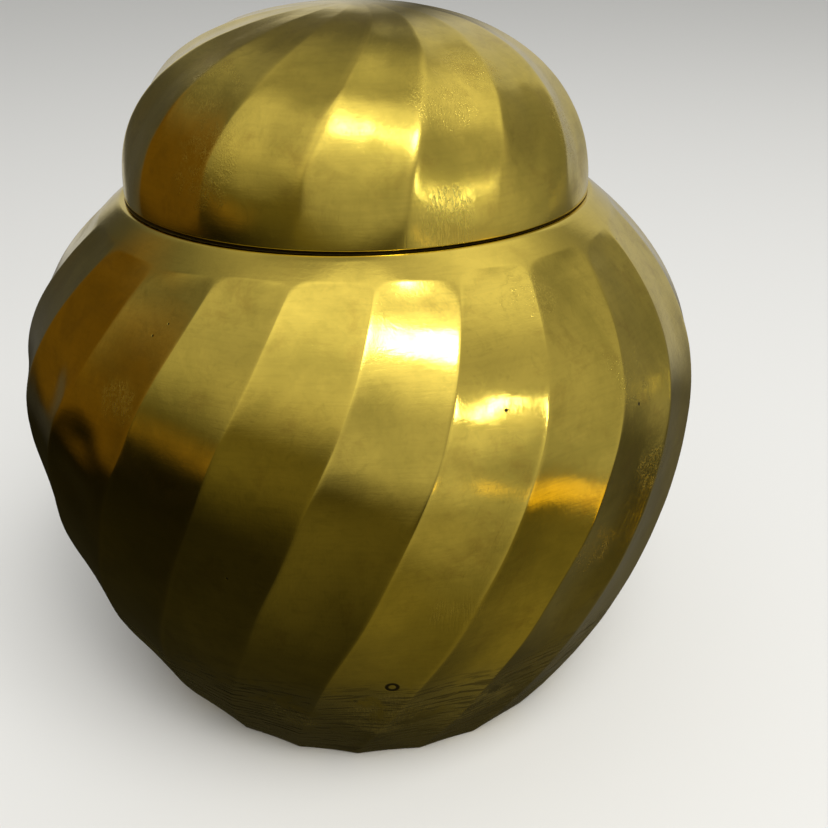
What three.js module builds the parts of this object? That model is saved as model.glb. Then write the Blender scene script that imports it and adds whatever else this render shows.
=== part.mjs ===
// Brass ginger jar with a domed lift-off lid. Swirling concave flutes run round the body and the lid.
// Millimetres, +Z up. The origin is the centre of the foot, on the surface that the jar stands on.
// The front of the jar faces -Y.

import * as THREE from 'three';

// ---- Driving dimensions, in millimetres and degrees ----

// Body, measured over the ridges between the flutes
const BELLY_RADIUS = 70;
const BELLY_HEIGHT = 66;
const FOOT_RADIUS = 48.4;
const SHOULDER_RADIUS = 46.3;
const SEAT_HEIGHT = 108;
const LOWER_FULLNESS = 1.95;
const UPPER_FULLNESS = 2.4;
const BODY_WALL = 1.8;

// How square the corners are where a flute ends: 2 is round
const FLUTE_END_SQUARENESS = 4;

// Body flutes
const BODY_FLUTES = 24;
const BODY_FLUTE_DEPTH_RATIO = 0.0115;
const BODY_FLUTE_TOP = 105.4;
const BODY_FLUTE_RUN_OUT = 8;
const BODY_TWIST = 38.5;
const BODY_RIDGE_ANGLE = -34.6;

// Mouth and foot openings of the body
const MOUTH_RADIUS = 41.5;
const MOUTH_DEPTH = 4.8;
const FOOT_BORE_RADIUS = 45;
const FOOT_LEDGE_RADIUS = 42.6;
const FOOT_LEDGE_HEIGHT = 4.3;
const FOOT_LEDGE_THICKNESS = 2.2;
const BORE_LEAD_IN = 3.6;

// Lid, measured over its ridges
const LID_RADIUS = 45.4;
const LID_RISE = 33.2;
const LID_SQUARENESS = 2.25;
const LID_BORE_RADIUS = 42.4;
const LID_BORE_RISE = 31;
const LID_FLUTES = 16;
const LID_FLUTE_DEPTH_RATIO = 0.025;
const LID_FLUTE_RUN_OUT = 10;
const LID_TWIST = 35;
const LID_TWIST_POWER = 1.75;
const LID_RIDGE_ANGLE = 9.5;
const LID_GAP = 0.5;

// Neck collar that the lid slips over, and the plate that closes the foot
const SOLDER_GAP = 0.3;
const COLLAR_WALL = 1.4;
const COLLAR_RISE = 7.5;
const COLLAR_CHAMFER = 0.5;
const BASE_PLATE_THICKNESS = 2.5;

// Mesh fineness
const BODY_SEGMENTS_PER_FLUTE = 4;
const LID_SEGMENTS_PER_FLUTE = 6;
const ROUND_SEGMENTS = 64;
const LOWER_STEPS = 7;
const UPPER_STEPS = 7;
const INNER_STEPS = 10;
const LID_STEPS = 9;

// ---- Materials ----

function brass(color, roughness) {
  return new THREE.MeshStandardMaterial({ color, metalness: 1, roughness });
}

// ---- Helpers ----

const point = (r, z) => new THREE.Vector2(r, z);

/** Even steps from a to b, both ends included. */
function steps(a, b, count) {
  return Array.from({ length: count + 1 }, (_, i) => THREE.MathUtils.lerp(a, b, i / count));
}

/**
 * Revolves a closed profile about Z, then lets shape(point, turn) move each vertex.
 * turn is the fraction of a full turn; shape returns { r, twist } with the twist in degrees.
 */
function revolve(profile, segments, shape = (p) => ({ r: p.x, twist: 0 })) {
  const geometry = new THREE.LatheGeometry(profile, segments);
  const position = geometry.attributes.position;
  for (let i = 0; i <= segments; i += 1) {
    const turn = (i % segments) / segments;
    profile.forEach((p, j) => {
      const { r, twist } = shape(p, turn);
      const angle = turn * Math.PI * 2 + THREE.MathUtils.degToRad(twist);
      position.setXYZ(i * profile.length + j, r * Math.sin(angle), -r * Math.cos(angle), p.y);
    });
  }
  return geometry;
}

/** How deep a flute is cut, from 0 on its edge to 1 in its middle. Its end has rounded corners. */
function fluteCut(turn, flutes, distanceFromEnd, runOut) {
  const across = Math.abs(2 * ((turn * flutes) % 1) - 1);
  const along = Math.max(0, 1 - distanceFromEnd / runOut);
  const edge = (across ** FLUTE_END_SQUARENESS + along ** FLUTE_END_SQUARENESS) ** (1 / FLUTE_END_SQUARENESS);
  return Math.max(0, 1 - edge * edge);
}

// ---- Jar body ----

/** Radius of the body over its ridges at height z. */
function bodyRadius(z) {
  if (z < BELLY_HEIGHT) {
    const drop = (BELLY_HEIGHT - z) / BELLY_HEIGHT;
    return BELLY_RADIUS - (BELLY_RADIUS - FOOT_RADIUS) * drop ** LOWER_FULLNESS;
  }
  const rise = (z - BELLY_HEIGHT) / (SEAT_HEIGHT - BELLY_HEIGHT);
  return BELLY_RADIUS - (BELLY_RADIUS - SHOULDER_RADIUS) * rise ** UPPER_FULLNESS;
}

/** Radius of the smooth inside wall at height z. */
function boreRadius(z) {
  return bodyRadius(z) * (1 - BODY_FLUTE_DEPTH_RATIO) - BODY_WALL;
}

function jarBody() {
  const runOutStart = BODY_FLUTE_TOP - BODY_FLUTE_RUN_OUT;
  const outerHeights = [
    ...steps(0, BELLY_HEIGHT, LOWER_STEPS),
    ...steps(BELLY_HEIGHT, runOutStart, UPPER_STEPS).slice(1),
    BODY_FLUTE_TOP - BODY_FLUTE_RUN_OUT / 3,
    BODY_FLUTE_TOP,
    SEAT_HEIGHT,
  ];
  const outer = outerHeights.map((z) => point(bodyRadius(z), z));

  const lipBottom = SEAT_HEIGHT - MOUTH_DEPTH;
  const ledgeTop = FOOT_LEDGE_HEIGHT + FOOT_LEDGE_THICKNESS;
  const boreTop = lipBottom - BORE_LEAD_IN;
  const boreBottom = ledgeTop + BORE_LEAD_IN;
  const bore = steps(boreTop, boreBottom, INNER_STEPS).map((z) => point(boreRadius(z), z));
  const inner = [
    point(MOUTH_RADIUS, SEAT_HEIGHT),
    point(MOUTH_RADIUS, lipBottom),
    ...bore,
    point(FOOT_LEDGE_RADIUS, ledgeTop),
    point(FOOT_LEDGE_RADIUS, FOOT_LEDGE_HEIGHT),
    point(FOOT_BORE_RADIUS, FOOT_LEDGE_HEIGHT),
    point(FOOT_BORE_RADIUS, 0),
  ];
  const outerPoints = new Set(outer);

  const shape = (p, turn) => {
    const twist = BODY_RIDGE_ANGLE + (BODY_TWIST * p.y) / SEAT_HEIGHT;
    if (!outerPoints.has(p)) {
      return { r: p.x, twist };
    }
    const cut = fluteCut(turn, BODY_FLUTES, BODY_FLUTE_TOP - p.y, BODY_FLUTE_RUN_OUT);
    return { r: p.x * (1 - BODY_FLUTE_DEPTH_RATIO * cut), twist };
  };
  const profile = [...outer, ...inner, outer[0]];
  return revolve(profile, BODY_FLUTES * BODY_SEGMENTS_PER_FLUTE, shape);
}

// ---- Neck collar ----

function neckCollar() {
  const outside = MOUTH_RADIUS - SOLDER_GAP;
  const inside = outside - COLLAR_WALL;
  const bottom = SEAT_HEIGHT - MOUTH_DEPTH;
  const top = SEAT_HEIGHT + COLLAR_RISE;
  return revolve([
    point(outside, bottom),
    point(outside, top - COLLAR_CHAMFER),
    point(outside - COLLAR_CHAMFER, top),
    point(inside, top),
    point(inside, bottom),
    point(outside, bottom),
  ], ROUND_SEGMENTS);
}

// ---- Base plate ----

function basePlate() {
  const radius = FOOT_BORE_RADIUS - SOLDER_GAP;
  const top = FOOT_LEDGE_HEIGHT - SOLDER_GAP;
  const bottom = top - BASE_PLATE_THICKNESS;
  return revolve([
    point(0, bottom),
    point(radius, bottom),
    point(radius, top),
    point(0, top),
  ], ROUND_SEGMENTS);
}

// ---- Lid ----

/** A point on a square-shouldered dome. The angle runs from 0 at the rim to a right angle at the top. */
function domePoint(radius, rise, angle, rimHeight) {
  const power = 2 / LID_SQUARENESS;
  const isTop = angle === Math.PI / 2;
  const r = isTop ? 0 : radius * Math.cos(angle) ** power;
  return point(r, rimHeight + rise * Math.sin(angle) ** power);
}

function lidDome() {
  const rimHeight = SEAT_HEIGHT + LID_GAP;
  const runOutAngle = Math.asin((LID_FLUTE_RUN_OUT / LID_RISE) ** (LID_SQUARENESS / 2));
  const angles = [0, ...steps(runOutAngle, Math.PI / 2, LID_STEPS)];
  const dome = (radius, rise) => angles.map((angle) => domePoint(radius, rise, angle, rimHeight));
  const outer = dome(LID_RADIUS, LID_RISE);
  const inner = dome(LID_BORE_RADIUS, LID_BORE_RISE);

  const shape = (p, turn) => {
    const isOuter = outer.includes(p);
    const angle = angles[isOuter ? outer.indexOf(p) : inner.indexOf(p)];
    const twist = LID_RIDGE_ANGLE + LID_TWIST * (angle / (Math.PI / 2)) ** LID_TWIST_POWER;
    if (!isOuter) {
      return { r: p.x, twist };
    }
    const cut = fluteCut(turn, LID_FLUTES, p.y - rimHeight, LID_FLUTE_RUN_OUT);
    return { r: p.x * (1 - LID_FLUTE_DEPTH_RATIO * cut), twist };
  };
  const profile = [...inner.toReversed(), ...outer];
  return revolve(profile, LID_FLUTES * LID_SEGMENTS_PER_FLUTE, shape);
}

// ---- Assembly ----

const jar = new THREE.Group();

function add(name, geometry, material) {
  const mesh = new THREE.Mesh(geometry, material);
  mesh.name = name;
  jar.add(mesh);
}

add('jar_body', jarBody(), brass(0xa8893a, 0.28));
add('neck_collar', neckCollar(), brass(0x97803c, 0.35));
add('base_plate', basePlate(), brass(0x8d7436, 0.42));
add('lid_dome', lidDome(), brass(0xa8893a, 0.28));

export default jar;
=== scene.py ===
"""Looks of a brass ginger jar with a domed lid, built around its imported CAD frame.

Every piece is in metres, in the frame of the CAD. The front of the jar faces -Y.
"""

import math
from dataclasses import dataclass

import bpy
import numpy as np
from mathutils import Matrix, Vector, noise


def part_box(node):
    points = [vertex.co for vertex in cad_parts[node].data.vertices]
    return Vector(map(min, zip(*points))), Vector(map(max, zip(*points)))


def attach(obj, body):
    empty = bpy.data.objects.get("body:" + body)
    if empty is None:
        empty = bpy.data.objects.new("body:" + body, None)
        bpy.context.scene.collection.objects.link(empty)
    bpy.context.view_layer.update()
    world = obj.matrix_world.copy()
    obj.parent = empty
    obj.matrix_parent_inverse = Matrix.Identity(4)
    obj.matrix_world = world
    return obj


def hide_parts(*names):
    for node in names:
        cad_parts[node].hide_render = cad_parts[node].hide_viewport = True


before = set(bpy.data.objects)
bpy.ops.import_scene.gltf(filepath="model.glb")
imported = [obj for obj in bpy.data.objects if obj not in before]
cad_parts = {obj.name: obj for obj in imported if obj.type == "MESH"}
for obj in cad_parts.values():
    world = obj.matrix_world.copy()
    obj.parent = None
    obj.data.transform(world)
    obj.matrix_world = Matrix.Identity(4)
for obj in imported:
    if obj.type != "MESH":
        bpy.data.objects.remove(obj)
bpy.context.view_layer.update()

MM = 0.001
SEED = 24

# ---------------------------------------------------------------- sizes

body_low, body_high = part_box("jar_body")
lid_low, lid_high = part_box("lid_dome")
collar_low, collar_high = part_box("neck_collar")
plate_low, plate_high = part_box("base_plate")

# Body, over the ridges between its flutes
BELLY_RADIUS = (body_high.x - body_low.x) / 2
BELLY_HEIGHT = 66 * MM
FOOT_RADIUS = 48.2 * MM
SHOULDER_RADIUS = 46.3 * MM
SEAT_HEIGHT = body_high.z
LOWER_FULLNESS = 1.95
UPPER_FULLNESS = 2.4
BODY_WALL = 1.8 * MM
MOUTH_RADIUS = 41.5 * MM
MOUTH_DEPTH = 4.8 * MM
FOOT_BORE_RADIUS = 45 * MM
FOOT_LEDGE_RADIUS = 42.6 * MM
FOOT_LEDGE_HEIGHT = 4.3 * MM
FOOT_LEDGE_THICKNESS = 2.2 * MM
BORE_LEAD_IN = 3.6 * MM
# How far from a corner the seat's and the foot's rounded edges begin
SEAT_EDGE = 0.3 * MM
FOOT_EDGE = 1.2 * MM

# Body flutes
BODY_FLUTES = 24
BODY_FLUTE_DEPTH_RATIO = 0.0115
BODY_FLUTE_TOP = 105.4 * MM
BODY_FLUTE_RUN_OUT = 3.0 * MM
BODY_RIDGE_WIDTH = 0.03
BODY_TWIST = math.radians(38.5)
BODY_RIDGE_ANGLE = math.radians(-34.6)

# Lid, over its ridges
LID_RADIUS = (lid_high.x - lid_low.x) / 2
RIM_HEIGHT = lid_low.z
LID_TOP_ROOM = 0.3 * MM
LID_RISE = lid_high.z - lid_low.z - LID_TOP_ROOM
LID_SQUARENESS = 2.25
LID_BORE_RADIUS = 42.4 * MM
LID_BORE_RISE = 31 * MM
LID_FLUTES = 16
LID_FLUTE_DEPTH_RATIO = 0.025
LID_FLUTE_RUN_OUT = 15 * MM
LID_RIDGE_WIDTH = 0.09
LID_TILT = math.radians(0.3)
# How much closer to the seat the lid lies than in the CAD
LID_SINK = 0.3 * MM
LID_TWIST = math.radians(35)
LID_TWIST_POWER = 1.75
LID_RIDGE_ANGLE = math.radians(9.5)

# Turned pieces
COLLAR_WALL = 1.4 * MM
COLLAR_ROUNDING = 0.45 * MM
PLATE_ROUNDING = 0.4 * MM

# How far from the seat shade is painted in the gap under the lid
GAP_SHADE_REACH = 1.6 * MM

# Lumps left by hand work, large and small: how deep and how wide
BODY_LUMPS = ((0.16 * MM, 24 * MM), (0.035 * MM, 7 * MM))
LID_LUMPS = ((0.12 * MM, 20 * MM), (0.03 * MM, 6 * MM))

# ---------------------------------------------------------------- mesh helpers


def smoothstep(low, high, x):
    t = np.clip((x - low) / (high - low), 0, 1)
    return t * t * (3 - 2 * t)


def round_edge(x, width):
    """x above 0 and 0 below it, with the corner at 0 rounded over the width."""
    return np.sqrt(np.maximum(x, 0) ** 2 + width**2) - width


def arc_rows(outline, spacing):
    """Points spaced evenly by arc length along a fine outline of (radius, height) rows."""
    steps = np.linalg.norm(np.diff(outline, axis=0), axis=1)
    along = np.concatenate([[0], np.cumsum(steps)])
    count = max(2, int(round(along[-1] / spacing)) + 1)
    at = np.linspace(0, along[-1], count)
    return np.column_stack([np.interp(at, along, outline[:, i]) for i in (0, 1)])


def corner(points, radius, steps=4):
    """A sharp outline with each inner corner rounded to the radius."""
    points = [np.array(p, float) for p in points]
    out = [points[0]]
    for before, here, after in zip(points, points[1:], points[2:]):
        a, b = before - here, after - here
        reach = min(radius, np.linalg.norm(a) / 2.1, np.linalg.norm(b) / 2.1)
        start = here + a / np.linalg.norm(a) * reach
        end = here + b / np.linalg.norm(b) * reach
        for t in np.linspace(0, 1, steps + 1):
            out.append((1 - t) ** 2 * start + 2 * t * (1 - t) * here + t**2 * end)
    out.append(points[-1])
    return np.array(out)


def fractal(points, size):
    """Smooth noise from -1 to 1 at each point, for lumps of about that size."""
    roughness, step, octaves = 1.0, 2.0, 2
    return np.array([noise.fractal(Vector(p) / size, roughness, step, octaves) for p in points])


def lumpy(points, lumps):
    """How far in each point lies because of the lumps."""
    return np.abs(sum(depth * fractal(points + i, size) for i, (depth, size) in enumerate(lumps)))


def paint_gap_shade(vertices, outside):
    """1 where shade is painted in the gap under the lid's rim, and 0 on open metal."""
    near = np.abs(vertices[:, 2] - SEAT_HEIGHT) < GAP_SHADE_REACH
    covered = np.linalg.norm(vertices[:, :2], axis=1) < LID_RADIUS
    return (1 - outside) * near * covered


def make_mesh(name, vertices, faces, attributes):
    mesh = bpy.data.meshes.new(name)
    mesh.from_pydata(vertices.tolist(), [], faces)
    for key, values in attributes.items():
        kind, field = ("FLOAT_VECTOR", "vector") if values.ndim == 2 else ("FLOAT", "value")
        data = mesh.attributes.new(key, kind, "POINT").data
        data.foreach_set(field, values.astype(np.float32).ravel())
    mesh.polygons.foreach_set("use_smooth", [True] * len(mesh.polygons))
    mesh.update()
    piece = bpy.data.objects.new(name, mesh)
    bpy.context.scene.collection.objects.link(piece)
    return piece


def on_circle(radius, angle, z):
    """Points at that radius and height, with angle 0 at the front and growing to the viewer's right."""
    heights = np.broadcast_to(z, np.shape(angle))
    return np.column_stack([radius * np.sin(angle), -radius * np.cos(angle), heights])


def ring_faces(columns, rows, closed):
    """Quads over a grid of rows x columns that wraps round; closed also joins the last row to the first."""
    c = np.arange(columns)
    after = (c + 1) % columns
    faces = []
    for r in range(rows if closed else rows - 1):
        below, above = r * columns, ((r + 1) % rows) * columns
        faces.extend(np.column_stack([below + c, below + after, above + after, above + c]).tolist())
    return faces


def pole_faces(columns, row, pole, upward):
    """Triangles that close a ring of vertices onto one pole vertex."""
    first = row * columns
    faces = []
    for c in range(columns):
        here, after = first + c, first + (c + 1) % columns
        faces.append((pole, here, after) if upward else (pole, after, here))
    return faces


# ---------------------------------------------------------------- flutes


class Flutes:
    """Where the ridges between hand-cut flutes run, and how deep the metal is cut between them."""

    # Radius of the corners at a flute's end, on its left and its right
    corners = (3.6 * MM, 2.2 * MM)
    # The jar's side leans in at the flutes' end, so a length along it is this much lower in height
    end_lean = 0.5
    # How far in height a flute's end may stray from its even place
    end_wander = 0.5 * MM
    # Each ridge sways in three waves: how strong they are, and how many of each fit in the height
    sway_shares = np.array([0.8, 0.3, 0.25])
    fewest_waves = (0.6, 1.6, 3.5)
    most_waves = (1.1, 2.6, 6.0)
    # The least and the most depth of a flute, as a share of the usual depth
    depth_range = (0.8, 1.15)

    def __init__(self, count, columns_each, depth_ratio, wander, seed):
        rng = np.random.default_rng(seed)
        self.count = count
        self.depth_ratio = depth_ratio
        ease = np.sin(np.linspace(-1, 1, columns_each, endpoint=False) * math.pi / 2)
        self.across = np.tile(ease, count)
        self.ridge = np.repeat(np.arange(count), columns_each)
        self.offset = rng.uniform(-1, 1, count) * wander
        self.sway = rng.uniform(0.3, 1, (count, 3)) * self.sway_shares * wander
        self.waves = rng.uniform(self.fewest_waves, self.most_waves, (count, 3))
        self.phase = rng.uniform(0, 2 * math.pi, (count, 3))
        self.depth = rng.uniform(*self.depth_range, count)
        self.end = rng.uniform(-1, 1, (2, count)) * self.end_wander

    def ridge_angle(self, ridge, share):
        """How far a ridge strays from its even place, at that share of the height."""
        turn = 2 * math.pi * self.waves[ridge] * share + self.phase[ridge]
        return self.offset[ridge] + (self.sway[ridge] * np.sin(turn)).sum(-1)

    def angles(self, share):
        """The angle of every column at that share of the height, before the twist."""
        after = (self.ridge + 1) % self.count
        step = 2 * math.pi / self.count
        here = self.ridge * step + self.ridge_angle(self.ridge, share)
        there = (self.ridge + 1) * step + self.ridge_angle(after, share)
        return here + (there - here) * (self.across + 1) / 2

    def cut(self, ridge_width):
        """Share of the radius cut away in every column, well away from the flutes' end."""
        inward = round_edge(1 - np.abs(self.across), ridge_width)
        full = round_edge(1.0, ridge_width)
        share = (2 * inward - inward**2) / (2 * full - full**2)
        return share * self.depth_ratio * self.depth[self.ridge]

    def end_share(self, radius, below_end, run_out):
        """Share of the depth that is left in every column, at a height below the flutes' end."""
        half_width = math.pi / self.count * radius
        bend = np.where(self.across < 0, *self.corners)
        aside = np.clip(1 - (1 - np.abs(self.across)) * half_width / bend, 0, 1)
        drop = bend * self.end_lean * (1 - np.sqrt(1 - aside**2))
        stray = self.end[0, self.ridge] + self.end[1, self.ridge] * self.across
        below = below_end - self.end_wander + stray - drop
        return 1 - np.clip(1 - below / run_out, 0, 1) ** 2


# ---------------------------------------------------------------- jar body


def body_radius(z):
    lower = np.clip((BELLY_HEIGHT - z) / BELLY_HEIGHT, 0, 1)
    upper = np.clip((z - BELLY_HEIGHT) / (SEAT_HEIGHT - BELLY_HEIGHT), 0, 1)
    drop = (BELLY_RADIUS - FOOT_RADIUS) * lower**LOWER_FULLNESS
    return BELLY_RADIUS - drop - (BELLY_RADIUS - SHOULDER_RADIUS) * upper**UPPER_FULLNESS


def bore_radius(z):
    return body_radius(z) * (1 - BODY_FLUTE_DEPTH_RATIO) - BODY_WALL


def body_outer_rows():
    z = np.linspace(0, SEAT_HEIGHT - SEAT_EDGE, 600)
    outline = np.column_stack([body_radius(z), z])
    # The flutes end between these two heights, and the rows are fine there
    ends_from, ends_to = BODY_FLUTE_TOP - 1.5 * BODY_FLUTE_RUN_OUT, BODY_FLUTE_TOP + 0.2 * MM
    fluted = arc_rows(outline[z <= ends_from], spacing=1.2 * MM)
    ends = arc_rows(outline[(z > ends_from) & (z <= ends_to)], spacing=0.25 * MM)
    ring = arc_rows(outline[z > ends_to], spacing=0.5 * MM)
    sharp_foot = [(FOOT_RADIUS - FOOT_EDGE, 0), (FOOT_RADIUS, 0), fluted[1]]
    foot = corner(sharp_foot, radius=0.5 * MM, steps=5)[1:-1]
    return np.vstack([foot, fluted[1:], ends, ring])


def body_inner_rows():
    lip = SEAT_HEIGHT - MOUTH_DEPTH
    ledge = FOOT_LEDGE_HEIGHT + FOOT_LEDGE_THICKNESS
    z = np.linspace(lip - BORE_LEAD_IN, ledge + BORE_LEAD_IN, 300)
    bore = arc_rows(np.column_stack([bore_radius(z), z]), spacing=3 * MM)
    edge = SEAT_HEIGHT - SEAT_EDGE
    mouth = [
        (float(body_radius(np.array(edge))), edge),
        (SHOULDER_RADIUS - 0.1 * MM, SEAT_HEIGHT),
        (LID_RADIUS + 0.2 * MM, SEAT_HEIGHT),
        (LID_RADIUS - 0.4 * MM, SEAT_HEIGHT),
        (MOUTH_RADIUS, SEAT_HEIGHT),
        (MOUTH_RADIUS, lip),
        bore[0],
    ]
    foot = [
        bore[-1],
        (FOOT_LEDGE_RADIUS, ledge),
        (FOOT_LEDGE_RADIUS, FOOT_LEDGE_HEIGHT),
        (FOOT_BORE_RADIUS, FOOT_LEDGE_HEIGHT),
        (FOOT_BORE_RADIUS, 0),
        (FOOT_RADIUS - FOOT_EDGE, 0),
    ]
    mouth_rows = corner(mouth, radius=0.2 * MM)[1:-1]
    foot_rows = corner(foot, radius=0.3 * MM)[1:-1]
    return np.vstack([mouth_rows, bore, foot_rows])


# Soft dents: angle from the front in degrees, then height, radius and depth in mm
SOFT_DENTS = (
    (-62, 60, 9, 0.40),
    (-44, 92, 8, 0.25),
    (30, 52, 10, 0.22),
    (100, 70, 9, 0.35),
    (170, 45, 8, 0.40),
    (-140, 80, 7, 0.35),
)
# Dents with a creased edge, from knocks against something hard
CREASED_DENTS = (
    (-56, 84, 7.0, 0.80),
    (-46, 77, 6.5, 0.75),
    (-38, 80, 5.0, 0.40),
    (-50, 66, 7.0, 0.55),
)


def dented(points):
    """How far in each point is pushed by the dents."""
    push = np.zeros(len(points))
    for dents, creased in ((SOFT_DENTS, False), (CREASED_DENTS, True)):
        for angle, height, reach, depth in dents:
            turn = math.radians(angle)
            radius = float(body_radius(np.array(height * MM)))
            centre = np.array([radius * math.sin(turn), -radius * math.cos(turn), height * MM])
            away = np.linalg.norm(points - centre, axis=1) / (reach * MM)
            if creased:
                shape = round_edge(1 - away, width=0.03)
            else:
                # The metal round a soft dent stands a little proud
                shape = np.exp(-(away**2)) * (1 - 0.35 * away**2)
            push += depth * MM * shape
    return push


def jar_body():
    flutes = Flutes(
        BODY_FLUTES,
        columns_each=18,
        depth_ratio=BODY_FLUTE_DEPTH_RATIO,
        wander=math.radians(0.7),
        seed=SEED,
    )
    outer, inner = body_outer_rows(), body_inner_rows()
    rows = np.vstack([outer, inner])
    columns = len(flutes.across)
    vertices, straight, ridge, outside = [], [], [], []
    for i, (radius, z) in enumerate(rows):
        share = z / SEAT_HEIGHT
        plain = flutes.angles(share)
        angle = plain + BODY_RIDGE_ANGLE + BODY_TWIST * share
        reach = np.full(columns, radius)
        cut = flutes.cut(BODY_RIDGE_WIDTH)
        cut = cut * flutes.end_share(radius, BODY_FLUTE_TOP - z, BODY_FLUTE_RUN_OUT)
        if i < len(outer):
            reach = reach * (1 - cut)
        vertices.append(on_circle(reach, angle, z))
        straight.append(on_circle(reach, plain, z))
        near = np.clip(1 - cut / BODY_FLUTE_DEPTH_RATIO, 0, 1)
        ridge.append(near)
        shows = i < len(outer) or (z > BODY_FLUTE_TOP and radius > LID_RADIUS)
        outside.append(np.full(columns, float(shows)))
    vertices, straight = np.vstack(vertices), np.vstack(straight)
    ridge, outside = np.concatenate(ridge), np.concatenate(outside)
    # The foot and the seat stay true, and the inside is less lumpy than the outside
    above_foot, below_seat = vertices[:, 2], SEAT_HEIGHT - vertices[:, 2]
    calm = smoothstep(0, 6 * MM, above_foot) * smoothstep(0, 5 * MM, below_seat)
    push = dented(vertices) * outside + lumpy(vertices, BODY_LUMPS) * (0.4 + 0.6 * outside)
    flat = np.linalg.norm(vertices[:, :2], axis=1, keepdims=True)
    vertices[:, :2] *= 1 - (push * calm)[:, None] / flat
    faces = ring_faces(columns, len(rows), closed=True)
    # Painted shade: the gap under the lid's rim is marked, to be darkened in the colour
    gap_shade = paint_gap_shade(vertices, outside)
    attributes = {"ridge": ridge, "outside": outside, "straight": straight, "gap_shade": gap_shade}
    return make_mesh("jar_body_fluted", vertices, faces, attributes)


# ---------------------------------------------------------------- lid


def dome_rows(radius, rise, spacing, fine_height, fine_spacing):
    """Rows from just above the rim to just short of the top."""
    angle = np.linspace(0, math.pi / 2, 1500)
    power = 2 / LID_SQUARENESS
    heights = RIM_HEIGHT + rise * np.sin(angle) ** power
    outline = np.column_stack([radius * np.cos(angle) ** power, heights])
    low = outline[outline[:, 1] <= RIM_HEIGHT + fine_height]
    high = outline[outline[:, 1] > RIM_HEIGHT + fine_height]
    return np.vstack([arc_rows(low, fine_spacing), arc_rows(high, spacing)])[:-1]


def lid_dome():
    flutes = Flutes(
        LID_FLUTES,
        columns_each=28,
        depth_ratio=LID_FLUTE_DEPTH_RATIO,
        wander=math.radians(0.9),
        seed=SEED + 1,
    )
    columns = len(flutes.across)
    outer = dome_rows(LID_RADIUS, LID_RISE, 0.9 * MM, LID_FLUTE_RUN_OUT, 0.35 * MM)
    inner = dome_rows(LID_BORE_RADIUS, LID_BORE_RISE, 2.5 * MM, 2 * MM, 1 * MM)[::-1]
    sharp_rim = [inner[-2], (LID_BORE_RADIUS, RIM_HEIGHT), (LID_RADIUS, RIM_HEIGHT), outer[1]]
    rim = corner(sharp_rim, radius=0.35 * MM)[1:-1]
    rows = np.vstack([inner[:-1], rim, outer[1:]])
    first_outer = len(inner) - 1 + len(rim) // 2
    vertices, straight, ridge, outside = [], [], [], []
    for i, (radius, z) in enumerate(rows):
        is_outer = i >= first_outer
        rise = LID_RISE if is_outer else LID_BORE_RISE
        lift = np.clip((z - RIM_HEIGHT) / rise, 0, 1) ** (LID_SQUARENESS / 2)
        share = math.asin(min(1.0, lift)) / (math.pi / 2)
        plain = flutes.angles(share)
        angle = plain + LID_RIDGE_ANGLE + LID_TWIST * share**LID_TWIST_POWER
        # The flutes fade towards the rim, and a trace of them is left there
        cut = flutes.cut(LID_RIDGE_WIDTH) * smoothstep(-2 * MM, LID_FLUTE_RUN_OUT, z - RIM_HEIGHT)
        reach = radius * (1 - cut) if is_outer else np.full(columns, radius)
        vertices.append(on_circle(reach, angle, z))
        straight.append(on_circle(reach, plain, z))
        ridge.append(np.clip(1 - cut / LID_FLUTE_DEPTH_RATIO, 0, 1))
        outside.append(np.full(columns, 1.0 if is_outer else 0.0))
    poles = np.array([[0, 0, RIM_HEIGHT + LID_BORE_RISE], [0, 0, RIM_HEIGHT + LID_RISE]])
    vertices.append(poles)
    straight.append(poles)
    ridge.append(np.array([1, 1]))
    outside.append(np.array([0, 1]))
    vertices, straight = np.vstack(vertices), np.vstack(straight)
    ridge, outside = np.concatenate(ridge), np.concatenate(outside)
    # The rim stays true
    calm = smoothstep(0, 5 * MM, vertices[:, 2] - RIM_HEIGHT)
    arm = vertices - np.array([0, 0, RIM_HEIGHT])
    outward = arm / np.linalg.norm(arm, axis=1, keepdims=True)
    vertices -= outward * (lumpy(vertices, LID_LUMPS) * calm)[:, None]
    # The lid sits close on the seat at its right and a little high on its left
    vertices[:, 2] += math.tan(LID_TILT) * (LID_RADIUS - vertices[:, 0]) - LID_SINK
    faces = ring_faces(columns, len(rows), closed=False)
    faces += pole_faces(columns, 0, len(vertices) - 2, upward=False)
    faces += pole_faces(columns, len(rows) - 1, len(vertices) - 1, upward=True)
    # Painted shade: the gap under the lid's rim is marked, to be darkened in the colour
    gap_shade = paint_gap_shade(vertices, outside)
    attributes = {"ridge": ridge, "outside": outside, "straight": straight, "gap_shade": gap_shade}
    return make_mesh("lid_dome_fluted", vertices, faces, attributes)


# ---------------------------------------------------------------- turned pieces


def turned(name, outline, segments=256):
    """An outline revolved about the jar's axis: closed on itself, or with both ends on the axis."""
    turn = np.arange(segments) / segments * 2 * math.pi
    solid = outline[0][0] == 0
    rings = outline[1:-1] if solid else outline
    vertices = np.vstack([on_circle(r, turn, z) for r, z in rings])
    faces = ring_faces(segments, len(rings), closed=not solid)
    if solid:
        poles = [[0, 0, outline[0][1]], [0, 0, outline[-1][1]]]
        faces += pole_faces(segments, 0, len(vertices), upward=False)
        faces += pole_faces(segments, len(rings) - 1, len(vertices) + 1, upward=True)
        vertices = np.vstack([vertices, poles])
    return make_mesh(name, vertices, faces, {})


def neck_collar():
    outside, top, bottom = collar_high.x, collar_high.z, collar_low.z
    inside = outside - COLLAR_WALL
    seam = ((outside + inside) / 2, bottom)
    sharp = [seam, (outside, bottom), (outside, top), (inside, top), (inside, bottom), seam]
    outline = corner(sharp, COLLAR_ROUNDING, steps=5)
    return turned("neck_collar_turned", outline[:-1])


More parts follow.
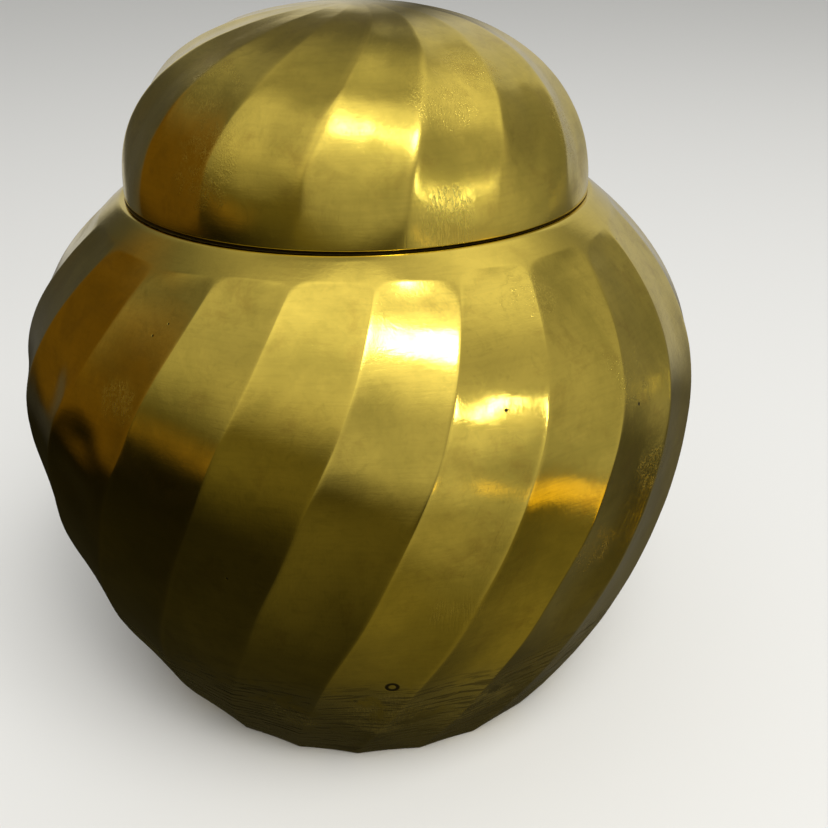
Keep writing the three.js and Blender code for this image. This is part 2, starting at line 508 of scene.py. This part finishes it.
def base_plate():
    radius, top, bottom = plate_high.x, plate_high.z, plate_low.z
    outline = corner([(0, bottom), (radius, bottom), (radius, top), (0, top)], PLATE_ROUNDING)
    return turned("base_plate_disc", outline)


# ---------------------------------------------------------------- brass

POLISHED = (0.84, 0.66, 0.13)
OLIVE = (0.56, 0.45, 0.085)
BROWN = (0.36, 0.22, 0.04)
DULL = (0.56, 0.52, 0.30)
# Dark brown for dirt in pits and sanding marks, and for painted shade in the gap under the lid
DIRT_AND_SHADE = (0.05, 0.035, 0.015)


class Nodes:
    """A node tree, and short ways to add the nodes that it is made of."""

    def __init__(self, tree):
        self.tree = tree

    def add(self, kind, inputs=None, **settings):
        node = self.tree.nodes.new(kind)
        for key, value in settings.items():
            setattr(node, key, value)
        for key, value in (inputs or {}).items():
            if isinstance(value, bpy.types.NodeSocket):
                self.tree.links.new(value, node.inputs[key])
            else:
                node.inputs[key].default_value = value
        return node

    def between(self, value, low, high, to_low=0.0, to_high=1.0):
        inputs = {"Value": value, "From Min": low, "From Max": high, "To Min": to_low, "To Max": to_high}
        return self.add("ShaderNodeMapRange", inputs, interpolation_type="SMOOTHSTEP").outputs["Result"]

    def math(self, operation, a, b=0.0):
        return self.add("ShaderNodeMath", {0: a, 1: b}, operation=operation).outputs[0]

    def vector(self, operation, a, b, output="Value"):
        return self.add("ShaderNodeVectorMath", {0: a, 1: b}, operation=operation).outputs[output]

    def times(self, *values):
        result = values[0]
        for value in values[1:]:
            result = self.math("MULTIPLY", result, value)
        return result

    def plus(self, *values):
        result = values[0]
        for value in values[1:]:
            result = self.math("ADD", result, value)
        return result

    def mix(self, share, a, b):
        node = self.add("ShaderNodeMix", data_type="RGBA")
        sockets = {"Factor": node.inputs[0], "A": node.inputs[6], "B": node.inputs[7]}
        for key, value in (("Factor", share), ("A", a), ("B", b)):
            if isinstance(value, bpy.types.NodeSocket):
                self.tree.links.new(value, sockets[key])
            elif key == "Factor":
                sockets[key].default_value = value
            else:
                sockets[key].default_value = (*value, 1)
        return node.outputs[2]


class Metal(Nodes):
    """A metal material, with noise and marks that are placed on the piece."""

    def __init__(self, name):
        self.material = bpy.data.materials.new(name)
        self.material.use_nodes = True
        super().__init__(self.material.node_tree)
        self.surface = self.tree.nodes["Principled BSDF"]
        self.surface.inputs["Metallic"].default_value = 1
        self.place = self.add("ShaderNodeTexCoord").outputs["Object"]

    def attribute(self, name, output="Fac"):
        return self.add("ShaderNodeAttribute", attribute_name=name).outputs[output]

    def stretched(self, place, scale, shift=(0, 0, 0), turn=(0, 0, 0)):
        inputs = {"Vector": place, "Scale": scale, "Location": shift, "Rotation": turn}
        return self.add("ShaderNodeMapping", inputs).outputs["Vector"]

    def noise(self, place, scale, detail=3.0, roughness=0.55, distortion=0.0):
        inputs = {
            "Vector": place,
            "Scale": scale,
            "Detail": detail,
            "Roughness": roughness,
            "Distortion": distortion,
        }
        return self.add("ShaderNodeTexNoise", inputs).outputs["Fac"]

    def scratches(self, place, flat_scale, upright_scale, threshold, turn=(0, 0, 0)):
        """Fine lines, which run the way of the smaller scale: 0 on clean metal, 1 in a scratch."""
        scale = (flat_scale, flat_scale, upright_scale)
        lines = self.noise(self.stretched(place, scale, turn=turn), 1.0, 2.0, 0.6, 0.3)
        return self.between(lines, threshold, threshold + 0.1)

    def spots(self, centres, ragged):
        """Patches round some places, with an edge that a noise makes ragged: 1 inside, 0 outside."""
        total = 0.0
        for centre, radius in centres:
            away = self.vector("DISTANCE", self.place, centre)
            total = self.math("MAXIMUM", total, self.between(away, radius, radius * 0.3))
        return self.between(self.plus(self.times(total, 0.6), ragged), 0.85, 1.25)

    def pits(self, scale, size):
        """Sparse small holes left by casting: 1 inside one."""
        cells = self.add("ShaderNodeTexVoronoi", {"Vector": self.place, "Scale": scale}, feature="F1")
        chosen = self.between(cells.outputs["Color"], 0.78, 0.97, 0.0, size)
        return self.between(self.math("SUBTRACT", chosen, cells.outputs["Distance"]), 0.0, size * 0.5)

    def finish(self, color, roughness, height, depth):
        """The material, with a bumpy surface where a height of 1 stands as tall as the depth."""
        bump = self.add("ShaderNodeBump", {"Strength": 1.0, "Distance": depth, "Height": height})
        self.tree.links.new(color, self.surface.inputs["Base Color"])
        self.tree.links.new(roughness, self.surface.inputs["Roughness"])
        self.tree.links.new(bump.outputs["Normal"], self.surface.inputs["Normal"])
        return self.material


def on_body(angle, height):
    """A place on the body's outside, at an angle from the front in degrees and a height in mm."""
    radius = float(body_radius(np.array(height * MM)))
    return on_circle(radius, np.array([math.radians(angle)]), height * MM)[0].tolist()


def on_flute(angle, height):
    """A place on the floor of a body flute, at an angle from the front in degrees and a height in mm."""
    x, y, z = on_body(angle, height)
    return [x * (1 - BODY_FLUTE_DEPTH_RATIO), y * (1 - BODY_FLUTE_DEPTH_RATIO), z]


def on_lid(angle, height):
    """A place on the lid's outside, at an angle from the front in degrees and mm above its rim."""
    lift = (height * MM / LID_RISE) ** LID_SQUARENESS
    radius = LID_RADIUS * (1 - lift) ** (1 / LID_SQUARENESS)
    return on_circle(radius, np.array([math.radians(angle)]), RIM_HEIGHT + height * MM)[0].tolist()


# Where the metal has been left grainy or rubbed: a place and how far the patch reaches
GRAINY_BODY = (
    (on_body(30, 101), 11 * MM),
    (on_body(44, 86), 13 * MM),
    (on_body(48, 68), 12 * MM),
    (on_body(35, 56), 11 * MM),
    (on_body(-150, 70), 16 * MM),
    (on_body(120, 90), 12 * MM),
)
RUBBED_BODY = (
    (on_body(2, 22), 17 * MM),
    (on_body(20, 20), 13 * MM),
    (on_body(-16, 21), 12 * MM),
    (on_body(-38, 86), 9 * MM),
    (on_body(12, 52), 10 * MM),
    (on_body(165, 24), 18 * MM),
)
GRAINY_LID = (
    (on_lid(-35, 12), 14 * MM),
    (on_lid(62, 14), 12 * MM),
    (on_lid(170, 16), 14 * MM),
)
RUBBED_LID = (
    (on_lid(22, 21), 13 * MM),
    (on_lid(38, 25), 11 * MM),
    (on_lid(18, 5), 10 * MM),
    (on_lid(-40, 22), 12 * MM),
    (on_lid(-110, 18), 14 * MM),
)
# Single casting pits: a place and a radius
PITS_BODY = (
    (on_flute(19.9, 87.3), 0.42 * MM),
    (on_flute(-33, 98), 0.25 * MM),
    (on_flute(6, 105), 0.35 * MM),
    (on_flute(9, 105.6), 0.40 * MM),
    (on_flute(-20, 60), 0.30 * MM),
    (on_flute(24, 62), 0.25 * MM),
)
PITS_LID = (
    (on_lid(-50, 11), 0.45 * MM),
    (on_lid(-20, 8), 0.40 * MM),
    (on_lid(75, 10), 0.45 * MM),
)
# A ring left by a burst bubble in the casting
BUBBLE = on_flute(2.8, 33.2)
BUBBLE_RADIUS = 1.0 * MM
# The two ways that rubbing marks run, as turns about X, Y and Z
RUB_TURNS = ((1.2, 0.5, 0.3), (0.4, 1.1, 0.9))
# The heights between which the sanding near the foot fades in
SANDED_FROM = 37 * MM
SANDED_FULLY = 28 * MM


def aged_brass(name, shift, base_roughness, grainy_places, rubbed_places, single_pits):
    """Hand-finished brass: file and polish marks, grain, pits, smudges and a thin uneven tarnish."""
    metal = Metal(name)
    place = metal.stretched(metal.place, (1, 1, 1), shift)
    straight = metal.stretched(metal.attribute("straight", "Vector"), (1, 1, 1), shift)
    ridge = metal.attribute("ridge")
    outside = metal.attribute("outside")

    # Unevenness, from wide to fine
    clouds = metal.noise(place, 34, 5.0, 0.62, 0.4)
    patches = metal.noise(place, 110, 6.0, 0.68, 0.4)
    mottle = metal.noise(place, 420, 4.0, 0.65, 0.8)
    streaks = metal.noise(metal.stretched(straight, (170, 170, 20)), 1.0, 4.0, 0.6, 0.4)

    # Where the metal is grainy, rubbed or sanded
    grain = metal.noise(place, 3300, 2.0, 0.7)
    grainy = metal.times(metal.spots(grainy_places, mottle), metal.between(grain, 0.46, 0.62))
    rubbed = metal.spots(rubbed_places, patches)
    height_up = metal.add("ShaderNodeSeparateXYZ", {"Vector": metal.place}).outputs["Z"]
    low_down = metal.between(height_up, SANDED_FROM, SANDED_FULLY)
    near_foot = metal.times(low_down, metal.between(patches, 0.38, 0.5))

    # Scratches
    along = metal.times(metal.scratches(straight, 2600, 70, 0.6), metal.between(clouds, 0.42, 0.6))
    sanded = metal.times(metal.scratches(place, 130, 1500, 0.5), metal.math("MAXIMUM", near_foot, 0.06))
    rubs = [metal.scratches(place, 2600, 170, 0.52, turn) for turn in RUB_TURNS]
    rubs = metal.times(metal.math("MAXIMUM", *rubs), metal.math("MAXIMUM", rubbed, 0.05))
    marks = metal.plus(metal.times(along, 0.4), metal.times(sanded, 1.8), metal.times(rubs, 1.8))

    # Holes
    bubble = metal.vector("DISTANCE", metal.place, BUBBLE)
    bubble = metal.math("ABSOLUTE", metal.math("SUBTRACT", bubble, BUBBLE_RADIUS))
    holes = metal.between(bubble, BUBBLE_RADIUS * 0.5, BUBBLE_RADIUS * 0.15)
    holes = metal.math("MAXIMUM", holes, metal.pits(210, 0.10))
    for centre, radius in single_pits:
        away = metal.vector("DISTANCE", metal.place, centre)
        holes = metal.math("MAXIMUM", holes, metal.between(away, radius, radius * 0.5))

    # Colour: tarnish, then bare metal on ridges and marks, then dirt, and painted shade in the gap under
    # the lid
    color = metal.mix(metal.between(clouds, 0.36, 0.68), POLISHED, OLIVE)
    color = metal.mix(metal.times(metal.between(patches, 0.5, 0.72), 0.35), color, BROWN)
    color = metal.mix(metal.times(metal.between(streaks, 0.5, 0.75), 0.3), color, OLIVE)
    color = metal.mix(metal.times(metal.between(mottle, 0.48, 0.75), 0.45), color, OLIVE)
    color = metal.mix(metal.times(metal.between(ridge, 0.8, 1.0), 0.45), color, POLISHED)
    color = metal.mix(metal.times(grainy, 0.5), color, POLISHED)
    color = metal.mix(metal.times(rubs, 0.5), color, POLISHED)
    color = metal.mix(metal.times(near_foot, 0.4), color, DULL)
    color = metal.mix(metal.times(sanded, 0.65), color, DIRT_AND_SHADE)
    color = metal.mix(holes, color, DIRT_AND_SHADE)
    inside = metal.math("SUBTRACT", 1.0, outside)
    color = metal.mix(metal.times(inside, 0.75), color, BROWN)
    # Painted shade: the gap under the lid's rim is darkened towards dark brown
    gap_shade = metal.attribute("gap_shade")
    color = metal.mix(metal.times(gap_shade, 0.75), color, DIRT_AND_SHADE)

    roughness = metal.plus(
        metal.between(clouds, 0.3, 0.7, base_roughness - 0.03, base_roughness + 0.05),
        metal.times(metal.between(patches, 0.45, 0.7), 0.06),
        metal.times(grainy, 0.16),
        metal.times(rubbed, 0.06),
        metal.times(near_foot, 0.12),
        metal.times(marks, 0.08),
        metal.times(inside, 0.22),
        metal.times(gap_shade, 0.3),
    )
    height = metal.plus(
        metal.times(patches, 0.5),
        metal.times(mottle, 0.4),
        metal.times(grainy, 0.4),
        metal.times(marks, -0.35),
        metal.times(holes, -1.5),
    )
    return metal.finish(color, roughness, height, 0.028 * MM)


def dull_brass(name, color, around, roughness):
    """Turned brass with fine rings, or rolled sheet where around is 0."""
    metal = Metal(name)
    clouds = metal.noise(metal.place, 45, 5.0, 0.65, 0.8)
    fine = metal.noise(metal.place, 700, 3.0, 0.6)
    rings = metal.noise(metal.stretched(metal.place, (30, 30, 4200)), 1.0, 2.0, 0.5)
    tint = metal.mix(metal.between(clouds, 0.35, 0.7), color, BROWN)
    rough = metal.between(clouds, 0.3, 0.75, roughness - 0.05, roughness + 0.12)
    height = metal.plus(metal.times(rings, around), metal.times(fine, 0.5))
    return metal.finish(tint, rough, height, 0.02 * MM)


def finish_piece(piece, body, node, material):
    piece.data.materials.append(material)
    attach(piece, body)
    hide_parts(node)


# ---------------------------------------------------------------- camera


# The photograph's view, fitted to the outline of the jar: the camera's place in belly radii and its turns
CAMERA_PLACE = (0, -2.734, 2.253)
CAMERA_YAW = math.radians(3.28)
CAMERA_PITCH = math.radians(28.26)
CAMERA_ROLL = math.radians(-0.28)
CAMERA_LENS = 41.45


def photo_camera():
    """The photograph's view: close to the jar, from the front and above."""
    data = bpy.data.cameras.new("camera")
    camera = bpy.data.objects.new("camera", data)
    bpy.context.scene.collection.objects.link(camera)
    data.sensor_width = 36
    data.lens = CAMERA_LENS
    data.clip_start = 0.01
    ahead = Vector((math.sin(CAMERA_YAW), math.cos(CAMERA_YAW), 0))
    forward = ahead * math.cos(CAMERA_PITCH) - Vector((0, 0, math.sin(CAMERA_PITCH)))
    right = Vector((math.cos(CAMERA_YAW), -math.sin(CAMERA_YAW), 0))
    up = right.cross(forward)
    turned_right = math.cos(CAMERA_ROLL) * right + math.sin(CAMERA_ROLL) * up
    turned_up = math.cos(CAMERA_ROLL) * up - math.sin(CAMERA_ROLL) * right
    axes = Matrix((turned_right, turned_up, -forward)).transposed()
    place = Vector(CAMERA_PLACE) * BELLY_RADIUS
    camera.matrix_world = Matrix.Translation(place) @ axes.to_4x4()
    bpy.context.scene.camera = camera


def direction(azimuth, elevation):
    """A unit vector. Azimuth is from the front of the jar, growing to the viewer's right."""
    turn, lift = math.radians(azimuth), math.radians(elevation)
    return Vector((math.sin(turn) * math.cos(lift), -math.cos(turn) * math.cos(lift), math.sin(lift)))


def lamp(name, shape, aim, way, distance, size, power, color):
    """A soft lamp that faces the aim, from a way given by azimuth and elevation."""
    data = bpy.data.lights.new(name, "AREA")
    data.shape = shape
    data.size, data.size_y = size
    data.energy = power
    data.color = color
    piece = bpy.data.objects.new(name, data)
    bpy.context.scene.collection.objects.link(piece)
    aim = Vector(aim)
    piece.location = aim + direction(*way) * distance
    piece.rotation_euler = (aim - piece.location).to_track_quat("-Z", "Y").to_euler()
    return piece


WARM = (1.0, 0.95, 0.80)
YELLOW = (1.0, 0.84, 0.30)
ORANGE = (1.0, 0.62, 0.03)
WOOD = (1.0, 0.53, 0.05)
PLASTER = (1.0, 0.98, 0.94)
TABLE = (1.0, 0.92, 0.55)
ROOM_COLOR = (0.006, 0.0045, 0.001)
PALE = (0.62, 0.62, 0.61)
FLOOR_COLOR = (0.66, 0.66, 0.65, 1)
FLOOR_SIZE = 6.0


@dataclass
class RoundGlow:
    """A round soft-edged patch of light that the metal mirrors. Angles are in degrees."""

    name: str
    azimuth: float
    elevation: float
    radius: float
    softness: float
    color: tuple
    strength: float

    def share(self, nodes, looking):
        """1 inside the patch and 0 outside it, for the direction that is looked in."""
        toward = nodes.vector("DOT_PRODUCT", looking, direction(self.azimuth, self.elevation))
        outer = math.radians(self.radius + self.softness)
        inner = math.radians(self.radius - self.softness)
        return nodes.between(nodes.math("ARCCOSINE", toward), outer, inner)


@dataclass
class Glow:
    """A patch of light with straight, soft edges that the metal mirrors. Angles are in degrees."""

    name: str
    azimuth: float
    elevation: float
    half_width: float
    half_height: float
    softness: float
    color: tuple
    strength: float
    slope: float = 0.0

    def share(self, nodes, looking):
        """1 inside the patch and 0 outside it, for the direction that is looked in."""
        ahead = nodes.vector("DOT_PRODUCT", looking, direction(self.azimuth, 0))
        aside = nodes.vector("DOT_PRODUCT", looking, direction(self.azimuth + 90, 0))
        upward = nodes.vector("DOT_PRODUCT", looking, (0, 0, 1))
        turn = nodes.math("ARCTAN2", aside, ahead)
        lift = nodes.math("SUBTRACT", nodes.math("ARCSINE", upward), math.radians(self.elevation))
        lift = nodes.math("SUBTRACT", lift, nodes.times(turn, self.slope))
        shares = []
        for angle, half in ((turn, self.half_width), (lift, self.half_height)):
            outer = math.radians(half + self.softness)
            inner = math.radians(half - self.softness)
            shares.append(nodes.between(nodes.math("ABSOLUTE", angle), outer, inner))
        return nodes.times(*shares)


GLOWS = (
    RoundGlow("ceiling", 0, 90, 36, 16, WARM, 0.25),
    RoundGlow("room_behind", 165, 45, 42, 18, WARM, 0.12),
    Glow("ceiling_front", 5, 74, 65, 16, 12, WARM, 0.30),
    Glow("ceiling_front_left", -27, 56, 22, 28, 17, WARM, 0.60),
    Glow("front_left", -28, 12, 17, 30, 22, YELLOW, 0.11),
    Glow("left_high", -64, 50, 20, 26, 16, WARM, 0.36),
    Glow("left_high_behind", -110, 50, 34, 18, 12, WARM, 0.13),
    Glow("left", -60, 20, 24, 20, 14, YELLOW, 0.07),
    Glow("left_behind", -142, 15, 13, 36, 6, PLASTER, 0.06),
    Glow("wood_front_left", -62, 3, 8, 6, 6, WOOD, 0.13),
    Glow("wood_left", -104, 12, 26, 25, 8, WOOD, 0.115),
    Glow("front", 6, 26, 18, 30, 14, WARM, 0.50),
    Glow("front_low", -12, -18, 18, 20, 14, YELLOW, 0.06),
    Glow("right", 60, 20, 34, 42, 12, WARM, 0.43),
    Glow("right_low", 32, -26, 12, 18, 9, WARM, 0.18),
    Glow("right_far", 110, 28, 18, 42, 8, WARM, 0.22),
    Glow("right_high", 112, 62, 44, 20, 12, WARM, 0.36),
    Glow("wall_right", 150, 13, 20, 30, 5, PLASTER, 0.43),
    Glow("wall_left", -166, 3, 16, 18, 4, PLASTER, 0.50),
    Glow("table_far_right", 128, -34, 26, 20, 12, WARM, 0.09),
    RoundGlow("table_right", 40, -50, 30, 20, YELLOW, 0.15),
    RoundGlow("table", 60, -76, 60, 34, TABLE, 0.022),
    Glow("lamp_spill", 22, 60, 22, 20, 13, WARM, 0.9),
    Glow("side_lamp_spill", 46, 13, 9, 14, 8, WARM, 0.35),
    Glow("orange_edge", 71, -27, 19, 3.8, 0.6, ORANGE, 1.05, -0.4),
    Glow("orange_edge_near", 34, -12, 2.2, 2.4, 0.8, ORANGE, 1.1),
    Glow("window_chink", 103, -6, 0.3, 4, 0.3, YELLOW, 1.6),
)


def surroundings():
    """What the metal mirrors, and a plain pale room for everything else."""
    world = bpy.data.worlds.new("studio")
    world.use_nodes = True
    nodes = Nodes(world.node_tree)
    looking = nodes.add("ShaderNodeTexCoord").outputs["Generated"]
    total = ROOM_COLOR
    for glow in GLOWS:
        tint = [c * glow.strength for c in glow.color]
        share = nodes.add("ShaderNodeCombineXYZ", {axis: glow.share(nodes, looking) for axis in "XYZ"})
        share.label = glow.name
        light = nodes.vector("MULTIPLY", share.outputs[0], tint, "Vector")
        total = nodes.vector("ADD", light, total, "Vector")
    is_mirrored = nodes.add("ShaderNodeLightPath").outputs["Is Glossy Ray"]
    color = nodes.mix(is_mirrored, PALE, total)
    nodes.tree.links.new(color, nodes.tree.nodes["Background"].inputs["Color"])
    bpy.context.scene.world = world


def floor():
    """The surface that the jar stands on. The metal doesn't mirror it."""
    half = FLOOR_SIZE / 2
    data = bpy.data.meshes.new("floor")
    corners = [(-half, -half, 0), (half, -half, 0), (half, half, 0), (-half, half, 0)]
    data.from_pydata(corners, [], [(0, 1, 2, 3)])
    piece = bpy.data.objects.new("floor", data)
    bpy.context.scene.collection.objects.link(piece)
    material = bpy.data.materials.new("floor")
    material.use_nodes = True
    surface = material.node_tree.nodes["Principled BSDF"]
    surface.inputs["Base Color"].default_value = FLOOR_COLOR
    surface.inputs["Roughness"].default_value = 0.8
    data.materials.append(material)
    piece.visible_glossy = False


def studio():
    floor()
    surroundings()
    lamp(
        "ceiling_lamp",
        "ELLIPSE",
        aim=(0, 0, SEAT_HEIGHT * 0.8),
        way=(20, 56.5),
        distance=1.2,
        size=(0.21, 0.23),
        power=1.3,
        color=(1.0, 0.97, 0.90),
    )
    side_lamp = lamp(
        "side_lamp",
        "ELLIPSE",
        aim=on_body(18, 87),
        way=(46.8, 21),
        distance=0.35,
        size=(0.012, 0.072),
        power=0.036,
        color=(1.0, 0.96, 0.84),
    )
    side_lamp.visible_diffuse = False
    floor_lamp = lamp(
        "floor_lamp",
        "RECTANGLE",
        aim=(0, 0, SEAT_HEIGHT * 0.8),
        way=(25, 58),
        distance=1.3,
        size=(0.9, 0.7),
        power=16,
        color=(1.0, 0.99, 0.97),
    )
    floor_lamp.visible_glossy = False
    bpy.context.scene.view_settings.view_transform = "Standard"


photo_camera()
studio()
body_brass = aged_brass("body_brass", (0, 0, 0), 0.10, GRAINY_BODY, RUBBED_BODY, PITS_BODY)
lid_brass = aged_brass("lid_brass", (0.3, 0.1, 0.2), 0.13, GRAINY_LID, RUBBED_LID, PITS_LID)
finish_piece(jar_body(), "jar", "jar_body", body_brass)
finish_piece(lid_dome(), "lid", "lid_dome", lid_brass)
collar_brass = dull_brass("collar_brass", (0.62, 0.47, 0.17), 1.0, 0.32)
finish_piece(neck_collar(), "jar", "neck_collar", collar_brass)
base_brass = dull_brass("base_brass", (0.52, 0.39, 0.15), 0.0, 0.42)
finish_piece(base_plate(), "jar", "base_plate", base_brass)
